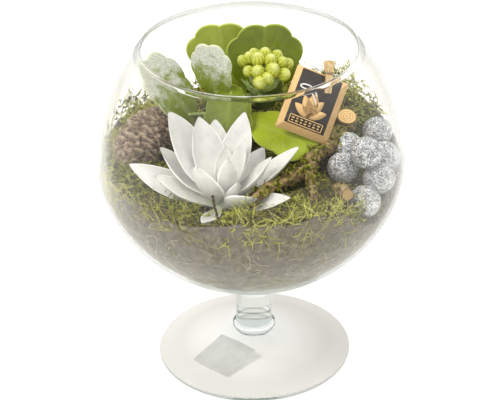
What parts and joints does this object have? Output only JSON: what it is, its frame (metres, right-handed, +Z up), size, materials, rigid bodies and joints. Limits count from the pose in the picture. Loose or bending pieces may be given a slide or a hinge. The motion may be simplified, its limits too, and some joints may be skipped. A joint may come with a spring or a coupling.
{
  "type": "glass plant terrarium",
  "caption": "Footed clear glass bowl planted with a white rosette succulent, a scalloped-leaf succulent in bud, moss, a pine cone, a mossy branch, glitter balls and a kraft tag.",
  "frame": {"origin": "middle of the glass foot, on the surface that it stands on", "axes": "+Z up along the stem, +Y away from the side that the rosette and the tag face, +X to the right of that side"},
  "size_m": [0.2, 0.2, 0.228],
  "materials": {
    "glass": "clear blown glass, faint green in the thick stem and foot",
    "paper_label": "plain matt label",
    "soil": "coarse fibrous potting soil",
    "moss": "feathery moss, yellow green to olive and brown",
    "white_leaf": "fleshy leaf with a matt white coat, green at the root",
    "green_leaf": "fleshy leaf, satin, with a pale thin edge",
    "silver_leaf": "fleshy leaf with a silvery sheen",
    "bud": "ribbed buds, yellow green",
    "cone": "weathered scales",
    "bark": "rough bark grown over with moss, pale cut ends",
    "glitter": "foam ball covered with silver glitter",
    "kraft_card": "kraft card with a dark grey panel",
    "peg_wood": "bare light wood",
    "white_wire": "white coated wire"
  },
  "bodies": {
    "root": {"glass_goblet": "glass", "foot_label": "paper_label", "soil": "soil", "moss_middle": "moss", "moss_right": "moss", "moss_back_right": "moss", "moss_back": "moss", "moss_left": "moss", "moss_front": "moss", "white_rosette_heart": "white_leaf", "white_leaf_1": "white_leaf", "white_leaf_2": "white_leaf", "white_leaf_3": "white_leaf", "white_leaf_4": "white_leaf", "white_leaf_5": "white_leaf", "white_leaf_6": "white_leaf", "white_leaf_7": "white_leaf", "white_leaf_8": "white_leaf", "white_leaf_9": "white_leaf", "white_leaf_10": "white_leaf", "white_leaf_11": "white_leaf", "white_leaf_12": "white_leaf", "white_leaf_13": "white_leaf", "white_leaf_14": "white_leaf", "white_leaf_15": "white_leaf", "white_leaf_16": "white_leaf", "white_leaf_17": "white_leaf", "white_leaf_18": "white_leaf", "flower_stem_with_buds": "bud", "scalloped_leaf_back_right": "green_leaf", "scalloped_leaf_back_left": "green_leaf", "scalloped_leaf_silver": "silver_leaf", "scalloped_leaf_left": "silver_leaf", "scalloped_leaf_low_right": "green_leaf", "scalloped_leaf_middle": "green_leaf", "scalloped_leaf_inner_right": "green_leaf", "scalloped_leaf_back": "green_leaf", "pine_cone": "cone", "mossy_branch": "bark", "cut_twig": "bark", "glitter_ball_1": "glitter", "glitter_ball_2": "glitter", "glitter_ball_3": "glitter", "glitter_ball_4": "glitter", "glitter_ball_5": "glitter", "glitter_ball_6": "glitter", "glitter_ball_7": "glitter", "paper_tag": "kraft_card", "peg_half_front": "peg_wood", "peg_half_back": "peg_wood", "peg_spring": "white_wire", "tag_string": "white_wire"}
  },
  "joints": []
}
